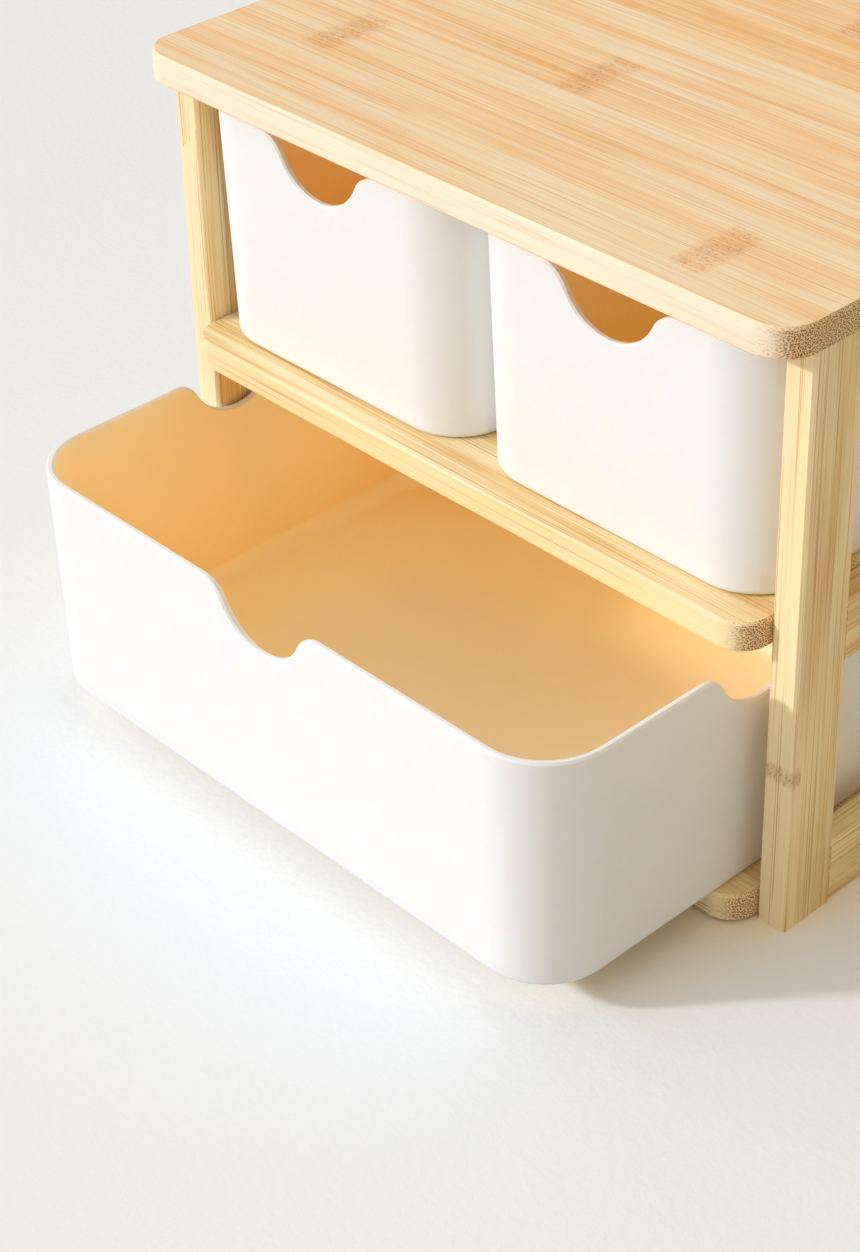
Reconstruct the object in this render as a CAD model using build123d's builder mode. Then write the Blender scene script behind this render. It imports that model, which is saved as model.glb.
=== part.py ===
"""Desktop mini drawers: a bamboo frame with two small drawers above one wide drawer.

Millimetres, +Z up, the front of the object faces -Y.
The origin is at table level, in the middle of the space that the object takes up
with its wide drawer pulled out.
"""

import os
from math import acos, cos, degrees, radians, sin, tan

from build123d import *

# ---------------------------------------------------------------- driving sizes
# frame
frame_width = 248.8        # over the outer faces of the posts
frame_depth = 174.0        # over the front and rear faces of the posts
total_height = 195.0       # table to the top face of the top board
post_width = 10.0          # post section along X
post_depth = 20.0          # post section along Y
rail_thickness = 9.4       # side and back rails
rail_height = 20.0
stock_edge_chamfer = 1.0   # broken long edges of posts and rails

# boards
board_thickness = 9.3
board_edge_chamfer = 0.8   # broken top and bottom edges of the boards
top_side_overhang = 1.1    # past the outer faces of the posts
top_front_overhang = 12.2  # past the front faces of the posts
top_corner_radius = 12.0
shelf_front_overhang = 10.1
shelf_corner_radius = 10.0
bottom_board_lift = 0.7    # air under the bottom board

# drawers
drawer_wall = 2.3
drawer_floor = 2.3
small_drawer_draft = 1.5       # degrees that each wall leans out
large_drawer_draft = 1.1
small_corner_radius = 19.0     # outer upright corners at the base
large_corner_radius = 21.0
drawer_foot_radius = 2.2       # outer edge where walls meet the base
drawer_inner_radius = 5.0      # inner edge where walls meet the floor
drawer_rim_chamfer = 0.6       # softened rim
foot_ring_width = 5.0          # ring that the drawer slides on
foot_ring_height = 0.6

# finger notches in the drawer walls
notch_width = 48.6             # between the points where the rim starts to dip
notch_depth = 15.4
notch_shoulder_radius = 9.5    # where the rim turns down

# room round the drawers in the frame
small_drawer_side_gap = 0.9    # rim of a small drawer to the posts beside it
small_drawer_gap = 1.2         # between the rims of the two small drawers
large_drawer_side_gap = 3.4    # rim of the wide drawer to the posts, when it is centred
large_drawer_shift = -2.4      # the wide drawer stands off centre in its bay
drawer_headroom = 6.5          # rim to the board above
drawer_stop_gap = 0.8          # back of a closed drawer to the back rail
drawer_proud = 3.2             # closed drawer rims stand ahead of the posts
pulled_out = 74.8              # how far the wide drawer is drawn at rest

# dowels
dowel_radius = 3.0
board_dowel_radius = 2.5
dowel_sides = 8                # the dowels and their holes are drawn eight-sided
dowel_clearance = 0.05         # glue room round a dowel
dowel_end_gap = 0.5            # glue room past each end of a dowel
dowel_in_rail = 15.0           # side rail dowel, length inside the rail
dowel_in_post = 11.0           # side rail dowel, length inside the post
back_dowel_in_rail = 17.0
back_dowel_in_post = 7.0
board_dowel_in_board = 16.0
board_dowel_in_rail = 6.5
top_dowel_in_rail = 13.0
top_dowel_in_board = 6.0
board_dowel_spacing = 90.0     # between the two dowels at one end of a board
top_dowel_spacing = 70.0       # between the two dowels of one top rail

# ------------------------------------------------------------- derived sizes
post_height = total_height - board_thickness
bay_width = frame_width - 2 * post_width
rail_length = frame_depth - 2 * post_depth
side_rail_x = bay_width / 2 + rail_thickness / 2
post_x = frame_width / 2 - post_width / 2

# along Y: the wide drawer's rim is the front end, the rear faces of the posts the back end
post_front_y = (drawer_proud + pulled_out - frame_depth) / 2
post_rear_y = post_front_y + frame_depth
frame_mid_y = post_front_y + frame_depth / 2
drawer_length = frame_depth + drawer_proud - rail_thickness - drawer_stop_gap
drawer_closed_y = post_front_y - drawer_proud + drawer_length / 2
back_rail_y = post_rear_y - rail_thickness / 2

# along Z: both bays have the same clear height
bottom_board_top = bottom_board_lift + board_thickness
bay_height = (post_height - bottom_board_top - board_thickness) / 2
shelf_top = bottom_board_top + bay_height + board_thickness

bottom_rail_z = rail_height / 2
mid_rail_z = shelf_top - rail_height / 2
top_rail_z = post_height - rail_height / 2
side_rail_levels = {"bottom": bottom_rail_z, "mid": mid_rail_z, "top": top_rail_z}
back_rail_levels = {
    "lower": bottom_board_top + rail_height / 2,
    "upper": shelf_top + rail_height / 2,
}
board_levels = {
    "bottom": bottom_board_top - board_thickness / 2,
    "shelf": shelf_top - board_thickness / 2,
}
board_dowel_ys = [frame_mid_y - board_dowel_spacing / 2, frame_mid_y + board_dowel_spacing / 2]
top_dowel_ys = [frame_mid_y - top_dowel_spacing / 2, frame_mid_y + top_dowel_spacing / 2]

# drawers, over the rim
small_drawer_width = (bay_width - small_drawer_gap - 2 * small_drawer_side_gap) / 2
large_drawer_width = bay_width - 2 * large_drawer_side_gap
drawer_height = bay_height - drawer_headroom
small_drawer_x = (small_drawer_gap + small_drawer_width) / 2

os.makedirs("parts", exist_ok=True)


def save(piece, name):
    """Label a finished piece and write it to its own file."""
    piece.part.label = name
    export_step(piece.part, "parts/" + name + ".step")


# ------------------------------------------------------------------- boards
top_width = frame_width + 2 * top_side_overhang
top_depth = frame_depth + top_front_overhang
top_mid_y = post_rear_y - top_depth / 2

with BuildPart() as top_board:
    with BuildSketch(Plane((0, top_mid_y, post_height))):
        RectangleRounded(top_width, top_depth, top_corner_radius)
    extrude(amount=board_thickness)
    chamfer(
        top_board.faces().sort_by(Axis.Z)[-1].edges() + top_board.faces().sort_by(Axis.Z)[0].edges(),
        board_edge_chamfer,
    )
    # blind holes from below for the top rails' dowels
    for side in (-1, 1):
        for hole_y in top_dowel_ys:
            with BuildSketch(Plane((side * side_rail_x, hole_y, post_height))):
                RegularPolygon(dowel_radius + dowel_clearance, dowel_sides)
            extrude(amount=top_dowel_in_board + dowel_end_gap, mode=Mode.SUBTRACT)
save(top_board, "top_board")


def shelf_board(top_z):
    """A board between the side frames: square at the back, rounded corners in front."""
    front_y = post_front_y - shelf_front_overhang
    depth = post_rear_y - front_y
    with BuildPart() as board:
        with BuildSketch(Plane((0, front_y + depth / 2, top_z - board_thickness))) as outline:
            Rectangle(bay_width, depth)
            fillet(outline.vertices().group_by(Axis.Y)[0], shelf_corner_radius)
        extrude(amount=board_thickness)
        chamfer(
            board.faces().sort_by(Axis.Z)[-1].edges() + board.faces().sort_by(Axis.Z)[0].edges(),
            board_edge_chamfer,
        )
        # blind holes in both ends for the dowels from the side rails
        for side in (-1, 1):
            end = Plane(
                origin=(side * bay_width / 2, 0, top_z - board_thickness / 2),
                x_dir=(0, 1, 0),
                z_dir=(-side, 0, 0),
            )
            with BuildSketch(end):
                with Locations(*[(hole_y, 0) for hole_y in board_dowel_ys]):
                    RegularPolygon(board_dowel_radius + dowel_clearance, dowel_sides)
            extrude(amount=board_dowel_in_board + dowel_end_gap, mode=Mode.SUBTRACT)
    return board


mid_shelf = shelf_board(shelf_top)
save(mid_shelf, "mid_shelf")
bottom_board = shelf_board(bottom_board_top)
save(bottom_board, "bottom_board")


# -------------------------------------------------------------------- posts
def post(side, end):
    """An upright post. side is -1 left, 1 right; end is -1 front, 1 rear."""
    inner_y = post_front_y + post_depth if end < 0 else post_rear_y - post_depth
    mid_y = inner_y + end * post_depth / 2
    with BuildPart() as upright:
        with BuildSketch(Plane((side * post_x, mid_y, 0))) as section:
            Rectangle(post_width, post_depth)
            chamfer(section.vertices(), stock_edge_chamfer)
        extrude(amount=post_height)
        # holes for the side rails' dowels, from the face that looks along the side
        rail_face = Plane(
            origin=(side * side_rail_x, inner_y, 0), x_dir=(1, 0, 0), z_dir=(0, end, 0)
        )
        up = -end
        with BuildSketch(rail_face):
            with Locations(*[(0, up * level) for level in side_rail_levels.values()]):
                RegularPolygon(dowel_radius + dowel_clearance, dowel_sides)
        extrude(amount=dowel_in_post + dowel_end_gap, mode=Mode.SUBTRACT)
        # the rear posts also take the back rails' dowels, from inside the bay
        if end > 0:
            bay_face = Plane(
                origin=(side * bay_width / 2, back_rail_y, 0), x_dir=(0, 1, 0), z_dir=(side, 0, 0)
            )
            with BuildSketch(bay_face):
                with Locations(*[(0, side * level) for level in back_rail_levels.values()]):
                    RegularPolygon(dowel_radius + dowel_clearance, dowel_sides)
            extrude(amount=back_dowel_in_post + dowel_end_gap, mode=Mode.SUBTRACT)
    return upright


for side, side_name in ((-1, "left"), (1, "right")):
    for end, end_name in ((-1, "front"), (1, "rear")):
        save(post(side, end), end_name + "_" + side_name + "_post")


# -------------------------------------------------------------- side rails
def side_rail(side, level):
    """A rail between the front and rear posts, its inner face in line with theirs."""
    front_end = post_front_y + post_depth
    with BuildPart() as rail:
        front_face = Plane(
            origin=(side * side_rail_x, front_end, level), x_dir=(1, 0, 0), z_dir=(0, 1, 0)
        )
        with BuildSketch(front_face) as section:
            Rectangle(rail_thickness, rail_height)
            chamfer(section.vertices(), stock_edge_chamfer)
        extrude(amount=rail_length)
        # a dowel hole in the middle of each end
        for end_y, inward in ((front_end, 1), (front_end + rail_length, -1)):
            end_face = Plane(
                origin=(side * side_rail_x, end_y, level), x_dir=(1, 0, 0), z_dir=(0, inward, 0)
            )
            with BuildSketch(end_face):
                RegularPolygon(dowel_radius + dowel_clearance, dowel_sides)
            extrude(amount=dowel_in_rail + dowel_end_gap, mode=Mode.SUBTRACT)
        # holes for the dowels of the board that this rail carries
        for board_z in board_levels.values():
            if abs(board_z - level) < rail_height / 2:
                inner_face = Plane(
                    origin=(side * bay_width / 2, 0, board_z), x_dir=(0, 1, 0), z_dir=(side, 0, 0)
                )
                with BuildSketch(inner_face):
                    with Locations(*[(hole_y, 0) for hole_y in board_dowel_ys]):
                        RegularPolygon(board_dowel_radius + dowel_clearance, dowel_sides)
                extrude(amount=board_dowel_in_rail + dowel_end_gap, mode=Mode.SUBTRACT)
        # the top rail holds the top board from below
        if level == top_rail_z:
            for hole_y in top_dowel_ys:
                top_face = Plane(
                    origin=(side * side_rail_x, hole_y, post_height), x_dir=(1, 0, 0), z_dir=(0, 0, -1)
                )
                with BuildSketch(top_face):
                    RegularPolygon(dowel_radius + dowel_clearance, dowel_sides)
                extrude(amount=top_dowel_in_rail + dowel_end_gap, mode=Mode.SUBTRACT)
    return rail


for side, side_name in ((-1, "left"), (1, "right")):
    for level_name, level in side_rail_levels.items():
        save(side_rail(side, level), side_name + "_" + level_name + "_rail")


# -------------------------------------------------------------- back rails
def back_rail(level):
    """A rail between the rear posts, standing on its board, that stops the drawers."""
    with BuildPart() as rail:
        left_face = Plane(
            origin=(-bay_width / 2, back_rail_y, level), x_dir=(0, 1, 0), z_dir=(1, 0, 0)
        )
        with BuildSketch(left_face) as section:
            Rectangle(rail_thickness, rail_height)
            chamfer(section.vertices(), stock_edge_chamfer)
        extrude(amount=bay_width)
        for side in (-1, 1):
            end_face = Plane(
                origin=(side * bay_width / 2, back_rail_y, level), x_dir=(0, 1, 0), z_dir=(-side, 0, 0)
            )
            with BuildSketch(end_face):
                RegularPolygon(dowel_radius + dowel_clearance, dowel_sides)
            extrude(amount=back_dowel_in_rail + dowel_end_gap, mode=Mode.SUBTRACT)
    return rail


for level_name, level in back_rail_levels.items():
    save(back_rail(level), level_name + "_back_rail")


# ------------------------------------------------------------------ dowels
def dowel(start, direction, radius, length):
    """Add one dowel pin, from start along direction, to the part that is being built."""
    with BuildSketch(Plane(origin=start, z_dir=direction)) as pin:
        RegularPolygon(radius, dowel_sides)
    extrude(pin.sketch, amount=length)


with BuildPart() as side_rail_dowels:
    for side in (-1, 1):
        for level in side_rail_levels.values():
            front_end = post_front_y + post_depth
            for joint_y, into_post in ((front_end, -1), (front_end + rail_length, 1)):
                start_y = joint_y - into_post * dowel_in_rail
                dowel(
                    (side * side_rail_x, start_y, level),
                    (0, into_post, 0),
                    dowel_radius,
                    dowel_in_rail + dowel_in_post,
                )
save(side_rail_dowels, "side_rail_dowels")

with BuildPart() as back_rail_dowels:
    for side in (-1, 1):
        for level in back_rail_levels.values():
            start_x = side * (bay_width / 2 - back_dowel_in_rail)
            dowel(
                (start_x, back_rail_y, level),
                (side, 0, 0),
                dowel_radius,
                back_dowel_in_rail + back_dowel_in_post,
            )
save(back_rail_dowels, "back_rail_dowels")

with BuildPart() as board_dowels:
    for side in (-1, 1):
        for board_z in board_levels.values():
            for pin_y in board_dowel_ys:
                start_x = side * (bay_width / 2 - board_dowel_in_board)
                dowel(
                    (start_x, pin_y, board_z),
                    (side, 0, 0),
                    board_dowel_radius,
                    board_dowel_in_board + board_dowel_in_rail,
                )
save(board_dowels, "board_dowels")

with BuildPart() as top_board_dowels:
    for side in (-1, 1):
        for pin_y in top_dowel_ys:
            dowel(
                (side * side_rail_x, pin_y, post_height - top_dowel_in_rail),
                (0, 0, 1),
                dowel_radius,
                top_dowel_in_rail + top_dowel_in_board,
            )
save(top_board_dowels, "top_board_dowels")

# ----------------------------------------------------------------- drawers
# The notch edge is an S-curve on each side: a shoulder arc that leaves the rim level,
# then a bottom arc that meets it at the steepest point and is level at the middle.
half_notch = notch_width / 2
arc_sum = (half_notch**2 + notch_depth**2) / (2 * notch_depth)
notch_bottom_radius = arc_sum - notch_shoulder_radius
flank_angle = acos(1 - notch_depth / arc_sum)


def notch_cutter(middle, across, reach):
    """Cut one finger notch through both walls that face each other across the middle."""
    turn_x = half_notch - notch_shoulder_radius * sin(flank_angle)
    turn_z = -notch_shoulder_radius * (1 - cos(flank_angle))
    half = flank_angle / 2
    shoulder_x = half_notch - notch_shoulder_radius * sin(half)
    shoulder_z = -notch_shoulder_radius * (1 - cos(half))
    bottom_x = notch_bottom_radius * sin(half)
    bottom_z = -notch_depth + notch_bottom_radius * (1 - cos(half))
    above = notch_depth
    wall_plane = Plane(origin=middle, x_dir=across, z_dir=Vector(*across).cross(Vector(0, 0, 1)))
    with BuildSketch(wall_plane) as outline:
        with BuildLine():
            ThreePointArc((-half_notch, 0), (-shoulder_x, shoulder_z), (-turn_x, turn_z))
            ThreePointArc((-turn_x, turn_z), (-bottom_x, bottom_z), (0, -notch_depth))
            ThreePointArc((0, -notch_depth), (bottom_x, bottom_z), (turn_x, turn_z))
            ThreePointArc((turn_x, turn_z), (shoulder_x, shoulder_z), (half_notch, 0))
            Polyline((half_notch, 0), (half_notch, above), (-half_notch, above), (-half_notch, 0))
        make_face()
    extrude(outline.sketch, amount=reach, both=True, mode=Mode.SUBTRACT)


def drawer(rim_width, corner_radius, draft, middle_x, middle_y, base_z):
    """A moulded tray: leaning walls, round corners and a notch in each of its four walls."""
    wall_lean = drawer_height * tan(radians(draft))
    base_width = rim_width - 2 * wall_lean
    base_length = drawer_length - 2 * wall_lean
    rim_z = base_z + drawer_height
    with BuildPart() as tray:
        with BuildSketch(Plane((middle_x, middle_y, base_z))):
            RectangleRounded(base_width, base_length, corner_radius)
        extrude(amount=drawer_height, taper=-draft)
        fillet(tray.faces().sort_by(Axis.Z)[0].edges(), drawer_foot_radius)
        # the inside, whose walls lean as the outer ones do
        inner_lean = drawer_floor * tan(radians(draft))
        inset = 2 * (drawer_wall - inner_lean)
        with BuildSketch(Plane((middle_x, middle_y, base_z + drawer_floor))):
            RectangleRounded(base_width - inset, base_length - inset, corner_radius - drawer_wall)
        extrude(amount=drawer_height - drawer_floor, taper=-draft, mode=Mode.SUBTRACT)
        floor_face = tray.faces().filter_by(Axis.Z).sort_by(Axis.Z)[1]
        fillet(floor_face.edges(), drawer_inner_radius)
        # notches: one cut goes through the front and the back, one through both sides
        notch_cutter((middle_x, middle_y, rim_z), (1, 0, 0), drawer_length)
        notch_cutter((middle_x, middle_y, rim_z), (0, 1, 0), rim_width)
        # the rim is softened all the way round, through the notches: its edges run along
        # the wall, while the short ones that cross the wall are no longer than it is thick
        lowest = rim_z - notch_depth - drawer_rim_chamfer
        crossing_length = drawer_wall + drawer_rim_chamfer / 2
        rim_edges = tray.edges().filter_by(
            lambda edge: edge.center().Z > lowest and edge.length > crossing_length
        )
        chamfer(rim_edges, drawer_rim_chamfer)
        # the base stands on a ring, with a shallow recess inside it
        ring = 2 * (drawer_foot_radius + foot_ring_width)
        with BuildSketch(Plane((middle_x, middle_y, base_z))):
            RectangleRounded(base_width - ring, base_length - ring, corner_radius - ring / 2)
        extrude(amount=foot_ring_height, mode=Mode.SUBTRACT)
    return tray


for side, side_name in ((-1, "left"), (1, "right")):
    small_drawer = drawer(
        small_drawer_width,
        small_corner_radius,
        small_drawer_draft,
        side * small_drawer_x,
        drawer_closed_y,
        shelf_top,
    )
    save(small_drawer, side_name + "_small_drawer")

large_drawer = drawer(
    large_drawer_width,
    large_corner_radius,
    large_drawer_draft,
    large_drawer_shift,
    drawer_closed_y - pulled_out,
    bottom_board_top,
)
save(large_drawer, "large_drawer")

print("bay", round(bay_width, 2), "wide", round(bay_height, 2), "high")
print("shelf top", round(shelf_top, 2), "bottom board top", round(bottom_board_top, 2))
print("post front y", round(post_front_y, 2), "rear y", round(post_rear_y, 2))
print("small drawer", round(small_drawer_width, 2), "wide drawer", round(large_drawer_width, 2))
print("drawer length", round(drawer_length, 2), "height", round(drawer_height, 2))
print("notch bottom radius", round(notch_bottom_radius, 2), "flank", round(degrees(flank_angle), 1))
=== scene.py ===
# %% [markdown]
# # Desktop mini drawers
#
# A bamboo frame holds two small moulded drawers side by side above one wide drawer, which is
# pulled out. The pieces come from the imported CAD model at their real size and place, so
# Blender only has to give them their finish, their light and a camera. Lengths are in metres,
# and MM turns millimetres into metres.

# %% Load the frame
import math

import bpy
from mathutils import Matrix, Vector

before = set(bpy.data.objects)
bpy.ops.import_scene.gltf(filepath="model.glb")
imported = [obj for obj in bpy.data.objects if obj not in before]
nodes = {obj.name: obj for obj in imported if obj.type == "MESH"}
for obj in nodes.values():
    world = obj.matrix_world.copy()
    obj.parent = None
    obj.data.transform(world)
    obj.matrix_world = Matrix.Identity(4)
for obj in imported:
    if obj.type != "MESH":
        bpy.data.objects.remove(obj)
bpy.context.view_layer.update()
MM = 0.001

# %% [markdown]
# ## Camera
#
# The photograph looks down at the right-hand front corner through a long lens. The place and
# the turns were found from the edges of the posts and boards, which run along X, Y and Z.
# A camera looks along its own -Z, so it is first rolled, then tipped up from straight down,
# then turned about the vertical. The picture is a cut-out of a larger frame, and the lens
# shift says where that cut lies.

# %% Camera
PHOTO_HEIGHT = 1252
FOCAL_PIXELS = 2790.6
SENSOR = 36.0
SHIFT_ACROSS = -0.0233
SHIFT_UP = -0.0847
NEAREST_SEEN = 0.01
camera_place = Vector((0.4945, -0.5141, 0.5211))
camera_turn = math.radians(46.92)
camera_tip = math.radians(57.06)
camera_roll = math.radians(-1.27)

camera_data = bpy.data.cameras.new("camera")
camera_data.sensor_width = SENSOR
camera_data.lens = FOCAL_PIXELS / PHOTO_HEIGHT * SENSOR
camera_data.shift_x = SHIFT_ACROSS
camera_data.shift_y = SHIFT_UP
camera_data.clip_start = NEAREST_SEEN
camera = bpy.data.objects.new("camera", camera_data)
camera.matrix_world = (
    Matrix.Translation(camera_place)
    @ Matrix.Rotation(camera_turn, 4, "Z")
    @ Matrix.Rotation(camera_tip, 4, "X")
    @ Matrix.Rotation(camera_roll, 4, "Z")
)
bpy.context.scene.collection.objects.link(camera)
bpy.context.scene.camera = camera
bpy.context.scene.view_settings.view_transform = "Standard"
print("lens", round(camera_data.lens, 1), "mm")

# %% [markdown]
# ## Small helpers for shader nodes
#
# A light or a material is a small network of nodes. `put` adds one node, and `give` fills one
# of its inputs: a value that is a socket becomes a wire, and any other value is written on the
# node's own socket. `calc` adds one step of arithmetic, `ramp` turns a range of values into
# 0 to 1 with soft ends, and `blend` mixes two colours.

# %% Node helpers
BLACK = (0.0, 0.0, 0.0, 1.0)


def give(tree, socket, value):
    """Wire a socket to another one, or write a plain value on it."""
    if isinstance(value, bpy.types.NodeSocket):
        tree.links.new(value, socket)
    else:
        socket.default_value = value


def give_all(tree, node, values):
    """Fill several inputs of one node, each by its name or number."""
    for name, value in values.items():
        give(tree, node.inputs[name], value)


def put(tree, kind, inputs=None, **settings):
    """Add a node of this kind, set its options and fill its inputs."""
    made = tree.nodes.new("ShaderNode" + kind)
    for name, value in settings.items():
        setattr(made, name, value)
    give_all(tree, made, inputs or {})
    return made


def calc(tree, operation, *values):
    """One step of arithmetic on numbers."""
    return put(tree, "Math", dict(enumerate(values)), operation=operation).outputs[0]


def ramp(tree, value, low, high):
    """0 where value is at low, 1 at high, with soft ends. low may be above high."""
    inputs = {"Value": value, "From Min": low, "From Max": high}
    return put(tree, "MapRange", inputs, interpolation_type="SMOOTHSTEP").outputs["Result"]


def blend(tree, share, first, second):
    """Mix two colours: share 0 is the first, 1 the second."""
    made = put(tree, "Mix", data_type="RGBA")
    sockets = {socket.identifier: socket for socket in made.inputs}
    give(tree, sockets["Factor_Float"], share)
    give(tree, sockets["A_Color"], first)
    give(tree, sockets["B_Color"], second)
    return next(socket for socket in made.outputs if socket.identifier == "Result_Color")


print("node helpers: give, give_all, put, calc, ramp and blend")

# %% [markdown]
# ## Light
#
# The photograph has one low, fairly small key light from the left front, which throws the
# drawer's shadow on the table. A sun lamp with some width gives it. The rest comes from a big
# soft box above that side and from a dimmer, warmer room all round, so the world's light fades
# from one to the other with its direction. The camera, reflections and whatever is seen through
# glass get a plain, nearly white room in its place.

# %% Light
key_direction = Vector((1.0, 1.25, -0.68))
key_colour = (1.0, 1.0, 1.06)
KEY_LIGHT = 0.53
KEY_WIDTH = math.radians(4.0)
toward_soft_box = (-0.50, -0.62, 0.60)
SOFT_BOX_EDGE = 0.35
SOFT_BOX_MIDDLE = 1.0
soft_box_colour = (1.03, 1.03, 1.09, 1.0)
shade_colour = (0.54, 0.45, 0.33, 1.0)
room_colour = (0.93, 0.93, 0.925, 1.0)

key_data = bpy.data.lights.new("key_light", "SUN")
key_data.energy = KEY_LIGHT * math.pi
key_data.angle = KEY_WIDTH
key_data.color = key_colour
key = bpy.data.objects.new("key_light", key_data)
key.rotation_mode = "QUATERNION"
key.rotation_quaternion = key_direction.to_track_quat("-Z", "Y")
bpy.context.scene.collection.objects.link(key)

world = bpy.data.worlds.new("studio")
bpy.context.scene.world = world
world.use_nodes = True
sky = world.node_tree
sky.nodes.clear()
rays = put(sky, "LightPath").outputs
seen = calc(sky, "MAXIMUM", rays["Is Camera Ray"], rays["Is Glossy Ray"])
seen = calc(sky, "MAXIMUM", seen, rays["Is Transmission Ray"])
look = put(sky, "TexCoord").outputs["Generated"]
facing = put(sky, "VectorMath", {0: look, 1: toward_soft_box}, operation="DOT_PRODUCT")
in_soft_box = ramp(sky, facing.outputs["Value"], SOFT_BOX_EDGE, SOFT_BOX_MIDDLE)
light_colour = blend(sky, in_soft_box, shade_colour, soft_box_colour)
fill = put(sky, "Background", {"Color": light_colour, "Strength": 1.0})
room = put(sky, "Background", {"Color": room_colour, "Strength": 1.0})
either = put(sky, "MixShader", {0: seen, 1: fill.outputs[0], 2: room.outputs[0]})
put(sky, "OutputWorld", {"Surface": either.outputs[0]})
print("key light and soft box from the left front, warm room all round")

# %% [markdown]
# ## What every finish needs
#
# Each finish starts as a material with one Principled shader, which is Blender's all-round
# surface. Patterns come from `noise`, a cloudy texture that is computed from a place, so it
# needs no picture and has no seams. `wear` gives the finished material to a piece.

# %% Finish helpers
def noise(tree, place, scale=1.0, detail=2.0, roughness=0.5):
    """A cloudy pattern from 0 to 1."""
    inputs = {"Vector": place, "Scale": scale, "Detail": detail, "Roughness": roughness}
    return put(tree, "TexNoise", inputs).outputs[0]


def new_material(name):
    """A material with an empty network that ends in one Principled shader."""
    material = bpy.data.materials.new(name)
    material.use_nodes = True
    tree = material.node_tree
    tree.nodes.clear()
    shader = put(tree, "BsdfPrincipled")
    put(tree, "OutputMaterial", {"Surface": shader.outputs[0]})
    return material, tree, shader


def wear(piece, material):
    """Give a piece its finish in every material slot that it has."""
    if not piece.material_slots:
        piece.data.materials.append(material)
    for slot in piece.material_slots:
        slot.material = material


print("finish helpers: noise, new_material and wear")

# %% [markdown]
# ## Table
#
# The unit stands on a plain pale table with a faint plaster-like grain. The table looks nearly
# white to the camera, but sends less light back up at the object than it shows: otherwise the
# lamps would have to go down so far that the shadow would fade. In the shadow close to the unit
# its colour is painted a little warmer, a painted tint for the light that the thin plastic walls
# let through. On the lit side the pulled-out drawer throws light on the table in front of it and
# to its left. That light is painted on as a faint glow, which only the camera and reflections
# see. Its two edges are fixed places beside the pulled-out drawer, so it doesn't follow the
# drawer in and out.

# %% Table
TABLE_HALF = 3.0
TABLE_LIGHT = (0.70, 0.69, 0.675, 1.0)
TABLE_SHOWN = (0.92, 0.97, 1.0, 1.0)
# painted shade: a warm colour painted on the table in the shadow close to the unit
TABLE_PAINTED_WARM_SHADE = (1.0, 0.89, 0.64, 1.0)
# painted light: the colour and strength of a glow painted on the table in front of and left of
# the drawer
TABLE_PAINTED_GLOW = (1.0, 0.84, 0.50, 1.0)
TABLE_PAINTED_GLOW_STRENGTH = 0.26
BESIDE_REACH = 60 * MM
BESIDE_LIMITS = (0.80, 0.28)
LIT_FRONT = -108 * MM
LIT_LEFT = -96 * MM
LIT_FADE = 8 * MM
GRIT_SCALE = 340.0
GRIT_HEIGHT = 0.4 * MM
GRIT_STRENGTH = 0.32

bpy.ops.mesh.primitive_plane_add(size=2 * TABLE_HALF, location=(0, 0, 0))
table = bpy.context.object
table.name = "table"

table_finish, tree, shader = new_material("pale_table")
rays = put(tree, "LightPath").outputs
seen = calc(tree, "MAXIMUM", rays["Is Camera Ray"], rays["Is Glossy Ray"])
beside = put(tree, "AmbientOcclusion", {"Distance": BESIDE_REACH}, samples=8).outputs["AO"]
near = ramp(tree, beside, *BESIDE_LIMITS)
place = put(tree, "TexCoord").outputs["Object"]
sides = put(tree, "SeparateXYZ", {0: place}).outputs
in_front = ramp(tree, sides["Y"], LIT_FRONT + LIT_FADE, LIT_FRONT)
on_the_left = ramp(tree, sides["X"], LIT_LEFT + LIT_FADE, LIT_LEFT)
# near the unit, the painted glow covers the part in front and to the left, the painted warm shade
# the rest
lit = calc(tree, "MULTIPLY", near, calc(tree, "MAXIMUM", in_front, on_the_left))
shaded = calc(tree, "SUBTRACT", near, lit)
shown_colour = blend(tree, shaded, TABLE_SHOWN, TABLE_PAINTED_WARM_SHADE)
grit = noise(tree, place, scale=GRIT_SCALE, detail=3.0, roughness=0.6)
bump = {"Strength": GRIT_STRENGTH, "Distance": GRIT_HEIGHT, "Height": grit}
give_all(
    tree,
    shader,
    {
        "Base Color": blend(tree, seen, TABLE_LIGHT, shown_colour),
        # painted light: the glow, seen only by the camera and reflections
        "Emission Color": blend(tree, calc(tree, "MULTIPLY", lit, seen), BLACK, TABLE_PAINTED_GLOW),
        "Emission Strength": TABLE_PAINTED_GLOW_STRENGTH,
        "Roughness": 0.75,
        "Specular IOR Level": 0.2,
        "Normal": put(tree, "Bump", bump).outputs[0],
    },
)
wear(table, table_finish)
print("table:", len(tree.nodes), "nodes")

# %% [markdown]
# ## Bamboo
#
# A bamboo board is glued up from strips, each as straight as the stalk that it came from. Fine
# fibres run the whole length, and every strip has a knuckle somewhere, a short darker band with
# specks. Where a face cuts across the fibres it shows their ends, as brown dots close together.
#
# A solid pattern gives all of this at once: it is computed from the place in the wood and not
# painted on a face, so the streaks on a long face and the dots on its end belong together. Five
# finishes use it, so it is a node group, with a colour, a roughness and a height to put out. The
# group takes the place along the grain, across it and through it, in millimetres.

# %% Bamboo grain group
def new_group(name, inputs, outputs):
    """A node group with named sockets: returns the group, its inputs and its output node."""
    group = bpy.data.node_groups.new(name, "ShaderNodeTree")
    for label, kind in inputs:
        group.interface.new_socket(label, in_out="INPUT", socket_type="NodeSocket" + kind)
    for label, kind in outputs:
        group.interface.new_socket(label, in_out="OUTPUT", socket_type="NodeSocket" + kind)
    entry = group.nodes.new("NodeGroupInput")
    leave = group.nodes.new("NodeGroupOutput")
    return group, entry.outputs, leave


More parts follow.
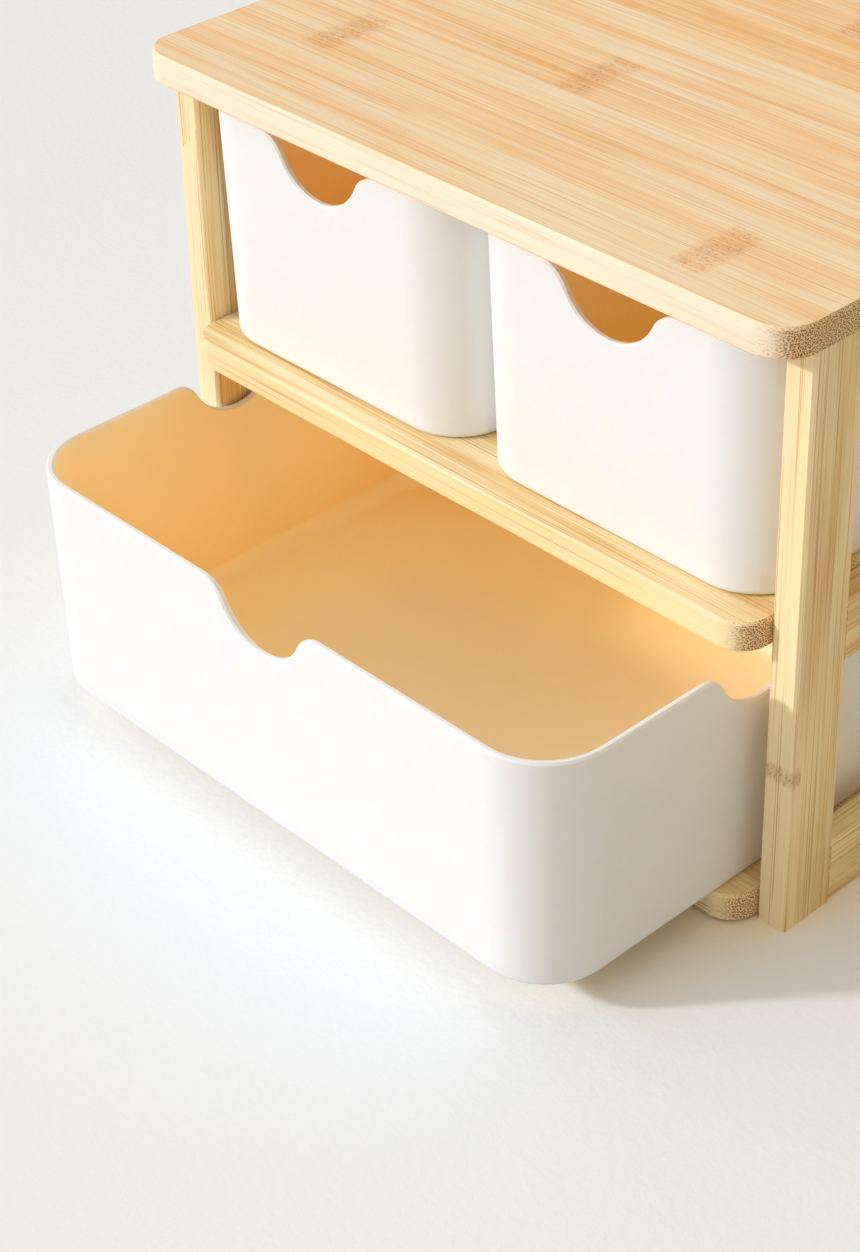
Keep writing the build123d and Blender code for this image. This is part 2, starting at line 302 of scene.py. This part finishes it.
grain_group, given, result = new_group(
    "bamboo_grain",
    [
        ("Place", "Vector"),
        ("End On", "Float"),
        ("Edge On", "Float"),
        ("Strip Width", "Float"),
        ("Strip Start", "Float"),
        ("Knuckle", "Float"),
        ("Thread", "Float"),
        ("Thread Scale", "Float"),
        ("Pale", "Color"),
        ("Honey", "Color"),
        ("Fibre", "Color"),
        ("Edge And Painted Light Cream", "Color"),
        ("End Tan", "Color"),
        ("End Brown", "Color"),
    ],
    [("Color", "Color"), ("Roughness", "Float"), ("Height", "Float")],
)
tree = grain_group
print("bamboo grain group:", len(grain_group.interface.items_tree), "named sockets")

# %% [markdown]
# ### Strips
#
# The fibres wander a little on their way, so the place itself is shifted by a slow noise before
# anything is drawn. Each strip then gets a tone of its own and takes its pattern from another
# part of the stalk, so that the streaks break off at the glue line.

# %% Strips
DRIFT_STRETCH = (1 / 110, 1 / 30, 1 / 30)
DRIFT_MM = 1.6
STRIP_JUMP = 37.0


def stretched(tree, place, stretch):
    """Scale a grain place along, across and through, so that a round pattern becomes streaks."""
    return put(tree, "VectorMath", {0: place, 1: stretch}, operation="MULTIPLY").outputs[0]


def moved(tree, place, shift):
    """Add two places."""
    return put(tree, "VectorMath", {0: place, 1: shift}, operation="ADD").outputs[0]


place = given["Place"]
drift = noise(tree, stretched(tree, place, DRIFT_STRETCH), detail=1.0)
drift = calc(tree, "MULTIPLY", calc(tree, "SUBTRACT", drift, 0.5), DRIFT_MM)
place = moved(tree, place, put(tree, "CombineXYZ", {"Y": drift, "Z": drift}).outputs[0])
parts = put(tree, "SeparateXYZ", {0: place}).outputs

strip = calc(tree, "SUBTRACT", parts["Y"], given["Strip Start"])
strip = calc(tree, "FLOOR", calc(tree, "DIVIDE", strip, given["Strip Width"]))
strip_tone = put(tree, "TexWhiteNoise", {"W": strip}, noise_dimensions="1D").outputs[0]
jump = calc(tree, "MULTIPLY", strip, STRIP_JUMP)
place = moved(tree, place, put(tree, "CombineXYZ", {"X": jump, "Z": jump}).outputs[0])
print("strips:", len(tree.nodes), "nodes so far")

# %% [markdown]
# ### Streaks
#
# The streaks are noises, each stretched along the grain: broad bands, fine ones and thin dark
# threads, with one more noise that breaks the threads off here and there. Bands, fine streaks
# and the strip's own tone add up to one number that slides the colour from pale to honey. An
# edge is then lightened, partly as the pale edge of the real strips and partly as painted light
# for the lit front faces, and the threads are drawn over it all.

# %% Streaks
BROAD_STRETCH = (0.012, 0.12, 0.12)
FINE_STRETCH = (0.009, 1.9, 1.9)
THREAD_STRETCH = (0.010, 2.9, 2.9)
GAP_STRETCH = (0.014, 0.3, 0.3)
FINE_CONTRAST = 2.3
BROAD_CONTRAST = 2.0
STRIP_CONTRAST = 0.5
THREAD_LIMITS = (0.54, 0.66)
GAP_LIMITS = (0.34, 0.62)
EDGE_AND_PAINTED_LIGHT_SHARE = 0.75

broad = noise(tree, stretched(tree, place, BROAD_STRETCH))
fine = noise(tree, stretched(tree, place, FINE_STRETCH), detail=3.0, roughness=0.75)
thread = stretched(tree, place, THREAD_STRETCH)
thread = noise(tree, thread, scale=given["Thread Scale"], detail=1.0)
thread = ramp(tree, thread, *THREAD_LIMITS)
gaps = ramp(tree, noise(tree, stretched(tree, place, GAP_STRETCH)), *GAP_LIMITS)
thread = calc(tree, "MULTIPLY", thread, gaps)

tone = calc(tree, "MULTIPLY", calc(tree, "SUBTRACT", fine, 0.5), FINE_CONTRAST)
tone = calc(tree, "MULTIPLY_ADD", calc(tree, "SUBTRACT", broad, 0.5), BROAD_CONTRAST, tone)
tone = calc(tree, "MULTIPLY_ADD", calc(tree, "SUBTRACT", strip_tone, 0.5), STRIP_CONTRAST, tone)
tone = put(tree, "Clamp", {"Value": calc(tree, "ADD", tone, 0.5)}).outputs[0]
colour = blend(tree, tone, given["Pale"], given["Honey"])
cream = calc(tree, "MULTIPLY", given["Edge On"], EDGE_AND_PAINTED_LIGHT_SHARE)
# partly painted light: faces that look to the front or back are lightened
colour = blend(tree, cream, colour, given["Edge And Painted Light Cream"])
colour = blend(tree, calc(tree, "MULTIPLY", thread, given["Thread"]), colour, given["Fibre"])
print("streaks:", len(tree.nodes), "nodes so far")

# %% [markdown]
# ### Knuckles and fibre ends
#
# A knuckle is a warm band, broken along the fibres, with darker specks in it. The ends of the
# fibres are the cells of a flat Voronoi pattern, which lays dots close together without a grid.
# The dots and the threads also go into the height, so a bump can sink them a little, and
# an end face is rougher than a long one.

# %% Knuckles and fibre ends
RAGGED_STRETCH = (0.09, 0.9, 0.9)
SPECK_STRETCH = (0.9, 1.8, 1.8)
RAGGED_LIMITS = (0.20, 0.60)
SPECK_LIMITS = (0.56, 0.66)
BAND_SHARE = 0.35
SPECK_SHARE = 0.80
END_CELLS_PER_MM = 1.9
DOT_LIMITS = (0.46, 0.20)
THREAD_DEPTH = -0.6
SMOOTHEST = 0.40
FINE_ROUGHNESS = 0.12
END_ROUGHNESS = 0.25

ragged = noise(tree, stretched(tree, place, RAGGED_STRETCH))
band = calc(tree, "MULTIPLY", given["Knuckle"], ramp(tree, ragged, *RAGGED_LIMITS))
colour = blend(tree, calc(tree, "MULTIPLY", band, BAND_SHARE), colour, given["Fibre"])
speck = noise(tree, stretched(tree, place, SPECK_STRETCH), detail=1.0)
speck = calc(tree, "MULTIPLY", ramp(tree, speck, *SPECK_LIMITS), band)
colour = blend(tree, calc(tree, "MULTIPLY", speck, SPECK_SHARE), colour, given["Fibre"])

ends = put(tree, "CombineXYZ", {"X": parts["Y"], "Y": parts["Z"]}).outputs[0]
cells = {"Vector": ends, "Scale": END_CELLS_PER_MM, "Randomness": 0.9}
cells = put(tree, "TexVoronoi", cells, voronoi_dimensions="2D").outputs["Distance"]
dots = ramp(tree, cells, *DOT_LIMITS)
end_colour = blend(tree, dots, given["End Tan"], given["End Brown"])

rough = calc(tree, "MULTIPLY_ADD", fine, FINE_ROUGHNESS, SMOOTHEST)
rough = calc(tree, "MULTIPLY_ADD", given["End On"], END_ROUGHNESS, rough)
height = calc(tree, "MULTIPLY_ADD", thread, THREAD_DEPTH, fine)
height = calc(tree, "SUBTRACT", height, calc(tree, "MULTIPLY", dots, given["End On"]))
give_all(
    tree,
    result,
    {
        "Color": blend(tree, given["End On"], colour, end_colour),
        "Roughness": rough,
        "Height": height,
    },
)
print("bamboo grain group:", len(tree.nodes), "nodes")

# %% [markdown]
# ### Where the knuckles are
#
# The photograph shows three knuckles on the top board and one on the right front post. The
# others are guessed. Each place below gives, in millimetres, the middle of the band along the
# grain and across it, and half its length. On the boards a band covers one strip. The one on
# the post stands a little in front of it, so that it marks the front face and hardly the side.

# %% Knuckle places
BAND_SOLID = 0.3
BAND_FULL_WIDTH = 0.9
top_knuckles = [(83, -38, 8), (-88, -10, 8), (-12.5, 18, 8), (112, 46, 7), (20, 102, 7)]
low_board_knuckles = [(-60, 18, 7), (30, 46, 7), (-95, 74, 7), (70, 102, 7)]
back_rail_knuckles = [(-45, 110, 5), (60, 140, 5)]
rail_knuckles = [(72, 10, 5), (88, 95, 5), (64, 175, 5)]
post_knuckles = [(53.5, -54, 4), (128, 116, 5)]


def knuckle_bands(tree, parts, places, strip_width):
    """A band of one strip's width at each place, with soft ends and sides."""
    mask = 0.0
    for along, across, half in places:
        reach = calc(tree, "ABSOLUTE", calc(tree, "SUBTRACT", parts[0], along))
        reach = ramp(tree, reach, half, BAND_SOLID * half)
        width = calc(tree, "ABSOLUTE", calc(tree, "SUBTRACT", parts[1], across))
        width = ramp(tree, width, strip_width / 2, BAND_FULL_WIDTH * strip_width / 2)
        mask = calc(tree, "MAXIMUM", mask, calc(tree, "MULTIPLY", reach, width))
    return mask


print(len(top_knuckles), "knuckles on the top board")

# %% [markdown]
# ## One finish for each way the grain runs
#
# Boards and back rails have their fibres along X, side rails along Y and posts upright, so each
# finish hands the three coordinates to the group in its own order. A face counts as cut end-on
# by the angle between it and the fibres, so at a rounded corner the dots fade in by themselves.
# A face that looks to the front or the back counts as an edge, and is paler: partly as the pale
# edge of real strips, partly as painted light for the lit front faces.
#
# The top board is the palest. The lower boards, the rails and the posts are browner, with
# thicker threads that show more. Boards have wider strips than rails and posts. A strip is
# given by its width and by where one starts, in millimetres, and a thread by how much it shows
# and by the scale of its pattern. The four colours are those of pale wood, honey, fibres and
# edges, the last partly a painted light for the lit front faces, as they look on a screen, from
# 0 to 255. `screen` turns them into the light that they stand for.

# %% Bamboo finishes
def screen(red, green, blue):
    """A screen colour, 0 to 255, as linear red, green, blue and alpha."""
    linear = []
    for channel in (red, green, blue):
        value = channel / 255
        linear.append(value / 12.92 if value <= 0.04045 else ((value + 0.055) / 1.055) ** 2.4)
    return (*linear, 1.0)


END_TAN = screen(246, 210, 156)
END_BROWN = screen(112, 70, 34)
END_ON_LIMITS = (0.35, 0.85)
EDGE_ON_LIMITS = (0.4, 0.9)
PORE_HEIGHT = 0.12 * MM
PORE_STRENGTH = 0.35


def bamboo_finish(name, order, strip, knuckles, thread, colours):
    """Lacquered bamboo. order gives the axes along, across and through the grain, such as XYZ."""
    strip_width, strip_start = strip
    thread_share, thread_scale = thread
    pale, honey, fibre, edge = colours
    material, tree, shader = new_material(name)
    coordinates = put(tree, "TexCoord").outputs
    in_mm = {0: coordinates["Object"], "Scale": 1 / MM}
    in_mm = put(tree, "VectorMath", in_mm, operation="SCALE").outputs[0]
    axes = put(tree, "SeparateXYZ", {0: in_mm}).outputs
    parts = [axes[letter] for letter in order]
    place = put(tree, "CombineXYZ", {"X": parts[0], "Y": parts[1], "Z": parts[2]}).outputs[0]
    facing = put(tree, "SeparateXYZ", {0: coordinates["Normal"]}).outputs
    grain = put(
        tree,
        "Group",
        {
            "Place": place,
            "End On": ramp(tree, calc(tree, "ABSOLUTE", facing[order[0]]), *END_ON_LIMITS),
            "Edge On": ramp(tree, calc(tree, "ABSOLUTE", facing["Y"]), *EDGE_ON_LIMITS),
            "Strip Width": strip_width,
            "Strip Start": strip_start,
            "Knuckle": knuckle_bands(tree, parts, knuckles, strip_width),
            "Thread": thread_share,
            "Thread Scale": thread_scale,
            "Pale": pale,
            "Honey": honey,
            "Fibre": fibre,
            "Edge And Painted Light Cream": edge,
            "End Tan": END_TAN,
            "End Brown": END_BROWN,
        },
        node_tree=grain_group,
    ).outputs
    pores = {"Strength": PORE_STRENGTH, "Distance": PORE_HEIGHT, "Height": grain["Height"]}
    give_all(
        tree,
        shader,
        {
            "Base Color": grain["Color"],
            "Roughness": grain["Roughness"],
            "Normal": put(tree, "Bump", pores).outputs[0],
            "Specular IOR Level": 0.35,
        },
    )
    return material


board_strip = (28.0, 4.0)
board_thread = (0.50, 1.0)
# the fourth colour of each set is the edge cream, partly painted light for the lit fronts
board_colours = (
    screen(254, 232, 194),
    screen(243, 190, 118),
    screen(218, 142, 62),
    screen(255, 242, 216),
)
stick_strip = (20.0, -8.0)
stick_thread = (0.62, 0.72)
stick_colours = (
    screen(255, 234, 184),
    screen(224, 176, 98),
    screen(184, 126, 56),
    screen(255, 234, 184),
)

top_finish = bamboo_finish(
    "bamboo_top", "XYZ", board_strip, top_knuckles, board_thread, board_colours
)
low_board_finish = bamboo_finish(
    "bamboo_boards", "XYZ", board_strip, low_board_knuckles, stick_thread, stick_colours
)
back_rail_finish = bamboo_finish(
    "bamboo_back_rails", "XZY", stick_strip, back_rail_knuckles, stick_thread, stick_colours
)
rail_finish = bamboo_finish(
    "bamboo_side_rails", "YZX", stick_strip, rail_knuckles, stick_thread, stick_colours
)
post_finish = bamboo_finish(
    "bamboo_posts", "ZYX", stick_strip, post_knuckles, stick_thread, stick_colours
)

for name, piece in nodes.items():
    if name == "top_board":
        wear(piece, top_finish)
    elif name.endswith("board") or name.endswith("shelf"):
        wear(piece, low_board_finish)
    elif name.endswith("back_rail"):
        wear(piece, back_rail_finish)
    elif name.endswith("rail"):
        wear(piece, rail_finish)
    elif name.endswith("post"):
        wear(piece, post_finish)
print("bamboo on boards, rails and posts")

# %% [markdown]
# ## Dowels
#
# The dowels are turned beech, hidden in their holes. They get a plain wood of their own, since
# someone who takes the model apart will see them.

# %% Dowels
FLECK_STRETCH = (300.0, 300.0, 300.0)

dowel_finish, tree, shader = new_material("beech_dowels")
place = put(tree, "TexCoord").outputs["Object"]
flecks = noise(tree, stretched(tree, place, FLECK_STRETCH))
beech = blend(tree, flecks, screen(226, 196, 152), screen(206, 168, 122))
give_all(tree, shader, {"Base Color": beech, "Roughness": 0.6})
for name, piece in nodes.items():
    if name.endswith("dowels"):
        wear(piece, dowel_finish)
print("beech on the dowels")

# %% [markdown]
# ## Drawers
#
# The drawers are moulded in a warm white plastic about 2 mm thick. Light goes a little way into
# it and comes out warmer, which shows where the walls are thin and deep inside, where it has
# bounced from wall to wall. Subsurface scattering does the first. The second is painted: the
# colour is let slide towards a warm cream, a painted shade, where the drawer's own walls shut the
# light out, with a painted glow there for the light that comes through the real walls. Deep in
# a drawer the painted shade turns to amber. Towards the right-hand end of the unit the cream is
# painted paler, a painted light for the key light that comes over the left walls and falls there.

# %% Moulded plastic
WHITE = screen(239, 243, 243)
# painted shade colours: cream where the drawer's walls shut the light out, amber deep down
PAINTED_SHADE_CREAM = screen(251, 224, 162)
# painted light: the paler cream at the right-hand end, where the key light falls
PAINTED_LIGHT_CREAM_RIGHT = screen(252, 236, 208)
PAINTED_SHADE_AMBER = screen(224, 168, 18)
MOTTLE = screen(236, 226, 210)
MOTTLE_SHARE = 0.06
SHELTER_REACH = 200 * MM
OPEN_LIMITS = (0.45, 0.95)
DEEP_LIMITS = (0.42, 0.15)
RIGHT_LIMITS = (0.0, 100 * MM)
# strength of a painted glow in the sheltered places
PAINTED_SHELTER_GLOW = 0.18
MOTTLE_SCALE = 35.0
MOTTLE_ROUGHNESS = 0.10
SMOOTH = 0.38
SKIN_SCALE = 2600.0
SKIN_HEIGHT = 0.05 * MM
SKIN_STRENGTH = 0.10
SCATTER_REACH = 4.0 * MM

plastic_finish, tree, shader = new_material("moulded_plastic")
# how much of the sky a place sees past the drawer's own walls: 0 none, 1 all of it
sky_share = put(tree, "AmbientOcclusion", {"Distance": SHELTER_REACH}, only_local=True, samples=8)
sky_share = sky_share.outputs["AO"]
open_sky = ramp(tree, sky_share, *OPEN_LIMITS)
painted_deep_shade_share = ramp(tree, sky_share, *DEEP_LIMITS)
place = put(tree, "TexCoord").outputs["Object"]
across = put(tree, "SeparateXYZ", {0: place}).outputs["X"]
# painted light: the cream is painted paler towards the right-hand end of the unit
painted_light_right_share = ramp(tree, across, *RIGHT_LIMITS)
# painted shade: sheltered places are painted cream, deep ones amber
painted_shade_and_glow_colour = blend(tree, painted_deep_shade_share, blend(tree, painted_light_right_share, PAINTED_SHADE_CREAM, PAINTED_LIGHT_CREAM_RIGHT), PAINTED_SHADE_AMBER)
colour_with_painted_shade = blend(tree, open_sky, painted_shade_and_glow_colour, WHITE)
mottle = noise(tree, place, scale=MOTTLE_SCALE)
mottled = calc(tree, "MULTIPLY", mottle, MOTTLE_SHARE)
skin = noise(tree, place, scale=SKIN_SCALE)
bump = {"Strength": SKIN_STRENGTH, "Distance": SKIN_HEIGHT, "Height": skin}
give_all(
    tree,
    shader,
    {
        "Base Color": blend(tree, mottled, colour_with_painted_shade, MOTTLE),
        # painted glow: sheltered places glow in the painted shade colour
        "Emission Color": blend(tree, open_sky, painted_shade_and_glow_colour, BLACK),
        "Emission Strength": PAINTED_SHELTER_GLOW,
        "Roughness": calc(tree, "MULTIPLY_ADD", mottle, MOTTLE_ROUGHNESS, SMOOTH),
        "Normal": put(tree, "Bump", bump).outputs[0],
        "Specular IOR Level": 0.4,
        "Subsurface Weight": 0.3,
        "Subsurface Radius": (1.0, 0.45, 0.15),
        "Subsurface Scale": SCATTER_REACH,
    },
)

for name, piece in nodes.items():
    if name.endswith("drawer"):
        wear(piece, plastic_finish)
print("plastic on the drawers")

# %% [markdown]
# ## End
#
# The pieces have their finishes, and the light and the camera are in place.

# %% End
print("finishes, light and camera in place")
